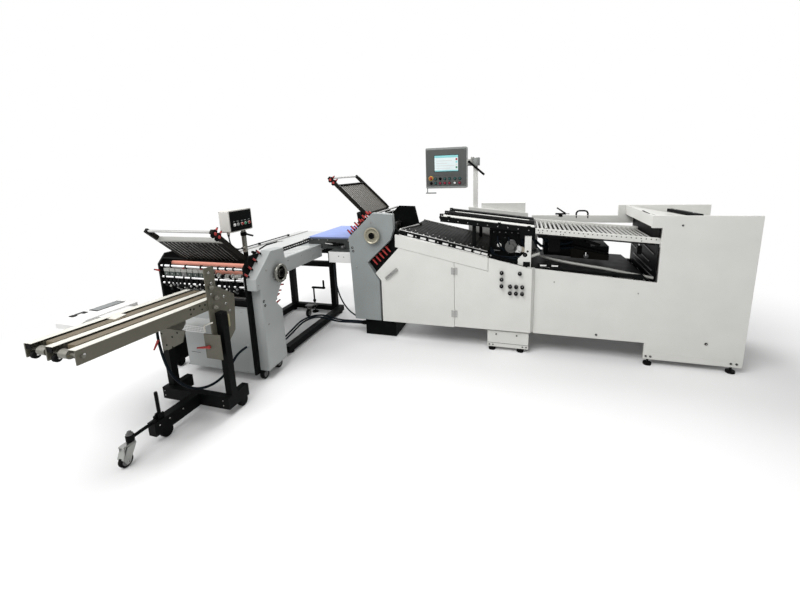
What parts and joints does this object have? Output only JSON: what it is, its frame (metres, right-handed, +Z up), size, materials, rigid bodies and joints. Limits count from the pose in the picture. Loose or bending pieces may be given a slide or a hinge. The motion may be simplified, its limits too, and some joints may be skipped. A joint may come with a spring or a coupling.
{
  "type": "paper folding machine",
  "caption": "Two-unit paper folding machine with feeder and register line, two buckle fold units at a right angle, transfer, infeed and delivery tables, and a swinging control panel.",
  "frame": {"origin": "floor point under the middle of the main plinth's right front pad", "axes": "+X along the main line towards the feeder, +Y from the operator side to the rear, +Z up; the delivery table runs towards -Y"},
  "size_m": [4.413, 3.1967, 1.81],
  "materials": {
    "panel_white": "satin",
    "frame_black": "satin",
    "cover_grey": "satin",
    "delivery_olive": "satin",
    "steel": "brushed",
    "chrome": "polished",
    "wheel_bronze": "satin",
    "knob_black": "matte",
    "console_grey": "satin",
    "lever_red": "gloss",
    "roller_salmon": "matte",
    "belt_blue": "matte",
    "belt_brown": "matte",
    "cord_black": "matte",
    "wheel_black": "matte",
    "plate_grey": "satin",
    "cover_light": "satin",
    "box_white": "satin"
  },
  "bodies": {
    "line": {"front_panel": "panel_white", "rear_panel": "panel_white", "feeder_hood": "panel_white", "line_frame": "frame_black", "main_plinth": "panel_white", "floor_pads": "steel", "register_panel": "panel_white", "register_strip": "panel_white", "adjusting_knobs": "knob_black", "register_table": "frame_black", "suction_head": "frame_black", "stream_board": "frame_black", "stream_rails": "panel_white", "stream_rollers": "steel", "lower_conveyor": "frame_black", "rear_cabinet": "panel_white", "mast": "panel_white", "first_unit_cover": "cover_grey", "first_unit_frame": "frame_black", "transfer_table": "plate_grey", "transfer_belts": "belt_blue", "second_unit_cover": "cover_light", "second_unit_frame": "frame_black", "lower_covers": "cover_light", "infeed_table": "cover_light", "infeed_stand": "frame_black", "delivery_stand": "frame_black", "floor_hose_1": "cord_black", "floor_hose_2": "cord_black", "transfer_cable": "cord_black", "delivery_cable": "cord_black"},
    "door": {"access_door": "panel_white"},
    "latch": {"door_latch": "console_grey"},
    "suction_disc": {"suction_wheel": "steel"},
    "first_drive": {"first_hand_wheel": "wheel_bronze", "first_roller": "steel"},
    "first_plate": {"first_fold_plate": "steel"},
    "console": {"control_panel": "console_grey"},
    "console_clamp": {"panel_clamp_lever": "knob_black"},
    "stop_button": {"emergency_stop": "lever_red"},
    "upper_roll": {"upper_roller": "roller_salmon"},
    "lower_roll": {"lower_roller": "roller_salmon"},
    "second_drive": {"second_hand_wheel": "wheel_bronze"},
    "second_plate": {"second_fold_plate": "steel"},
    "second_box": {"control_post": "steel", "second_control_box": "console_grey", "control_box_cable": "cord_black"},
    "jack": {"jack_crank": "steel"},
    "delivery": {"delivery_table": "delivery_olive", "delivery_belts": "belt_brown", "keypad_box": "box_white"},
    "delivery_shaft": {"delivery_roller": "chrome"},
    "castor": {"castor_fork": "steel"},
    "castor_roll": {"castor_wheel": "wheel_black"},
    "height_lever": {"base_lever": "frame_black"},
    "clamp_lever_1": {"recess_lever_1": "lever_red"},
    "clamp_lever_2": {"recess_lever_2": "lever_red"},
    "clamp_lever_3": {"recess_lever_3": "lever_red"},
    "clamp_lever_4": {"recess_lever_4": "lever_red"},
    "clamp_lever_5": {"recess_lever_5": "lever_red"}
  },
  "joints": [
    {"name": "door_hinge", "type": "hinge", "parent": "line", "child": "door", "pos_m": [-0.5695, -0.0465, 0.5], "axis": [0, 0, 1], "range_deg": [0, 105]},
    {"name": "latch_turn", "type": "hinge", "parent": "door", "child": "latch", "pos_m": [-1.152, -0.047, 0.658], "axis": [0, -1, 0], "range_deg": [0, 90]},
    {"name": "suction_turn", "type": "hinge", "parent": "line", "child": "suction_disc", "pos_m": [-0.098, 0.15, 0.905], "axis": [0, -1, 0], "continuous": true},
    {"name": "first_drive_turn", "type": "hinge", "parent": "line", "child": "first_drive", "pos_m": [-1.318, 0.3, 1.015], "axis": [0, -1, 0], "continuous": true},
    {"name": "first_plate_slide", "type": "slide", "parent": "line", "child": "first_plate", "axis": [-0.7193, 0, 0.6947], "range_m": [0, 0.22]},
    {"name": "console_turn", "type": "hinge", "parent": "line", "child": "console", "pos_m": [-0.496, 0.882, 1.65], "axis": [0, 0, 1], "range_deg": [-60, 60]},
    {"name": "console_clamp_turn", "type": "hinge", "parent": "console", "child": "console_clamp", "pos_m": [-0.555, 0.84, 1.65], "axis": [0, -1, 0], "range_deg": [-60, 60]},
    {"name": "stop_press", "type": "slide", "parent": "console", "child": "stop_button", "axis": [0, 1, 0], "range_m": [0, 0.006], "stiffness_N_per_m": 1500, "springref_m": -0.004},
    {"name": "upper_roll_turn", "type": "hinge", "parent": "line", "child": "upper_roll", "pos_m": [-2.37, -0.87, 0.9], "axis": [1, 0, 0], "continuous": true},
    {"name": "lower_roll_turn", "type": "hinge", "parent": "line", "child": "lower_roll", "pos_m": [-2.37, -0.87, 0.844], "axis": [1, 0, 0], "continuous": true},
    {"name": "second_drive_turn", "type": "hinge", "parent": "line", "child": "second_drive", "pos_m": [-1.9, -0.735, 0.822], "axis": [1, 0, 0], "continuous": true},
    {"name": "second_plate_slide", "type": "slide", "parent": "line", "child": "second_plate", "axis": [0, -0.7431, 0.6691], "range_m": [0, 0.2]},
    {"name": "second_box_turn", "type": "hinge", "parent": "line", "child": "second_box", "pos_m": [-2.15, -0.74, 0.95], "axis": [0, 0, 1], "range_deg": [-60, 60]},
    {"name": "jack_turn", "type": "hinge", "parent": "line", "child": "jack", "pos_m": [-2.297, 0.47, 0.1], "axis": [0, 0, 1], "continuous": true},
    {"name": "delivery_height", "type": "slide", "parent": "line", "child": "delivery", "axis": [0, 0, 1], "range_m": [0, 0.08]},
    {"name": "delivery_shaft_turn", "type": "hinge", "parent": "delivery", "child": "delivery_shaft", "pos_m": [-2.0735, -2.1607, 0.81634], "axis": [1, 0, 0], "continuous": true},
    {"name": "castor_swivel", "type": "hinge", "parent": "line", "child": "castor", "pos_m": [-2.116, -1.891, 0.15], "axis": [0, 0, 1], "continuous": true},
    {"name": "castor_wheel_turn", "type": "hinge", "parent": "castor", "child": "castor_roll", "pos_m": [-2.116, -1.936, 0.038], "axis": [1, 0, 0], "continuous": true},
    {"name": "height_lever_turn", "type": "hinge", "parent": "line", "child": "height_lever", "pos_m": [-2.116, -1.7, 0.163], "axis": [1, 0, 0], "range_deg": [-25, 25]},
    {"name": "clamp_lever_1_turn", "type": "hinge", "parent": "line", "child": "clamp_lever_1", "pos_m": [-1.338, 0, 0.778], "axis": [0, -1, 0], "range_deg": [0, 30]},
    {"name": "clamp_lever_2_turn", "type": "hinge", "parent": "line", "child": "clamp_lever_2", "pos_m": [-1.30436, 0, 0.80937], "axis": [0, -1, 0], "range_deg": [0, 30]},
    {"name": "clamp_lever_3_turn", "type": "hinge", "parent": "line", "child": "clamp_lever_3", "pos_m": [-1.27072, 0, 0.84074], "axis": [0, -1, 0], "range_deg": [0, 30]},
    {"name": "clamp_lever_4_turn", "type": "hinge", "parent": "line", "child": "clamp_lever_4", "pos_m": [-1.23707, 0, 0.87212], "axis": [0, -1, 0], "range_deg": [0, 30]},
    {"name": "clamp_lever_5_turn", "type": "hinge", "parent": "line", "child": "clamp_lever_5", "pos_m": [-1.20343, 0, 0.90349], "axis": [0, -1, 0], "range_deg": [0, 30]}
  ],
  "couplings": [
    {"joint": "lower_roll_turn", "follows": "upper_roll_turn", "ratio": -1},
    {"joint": "second_drive_turn", "follows": "upper_roll_turn", "ratio": 1}
  ]
}
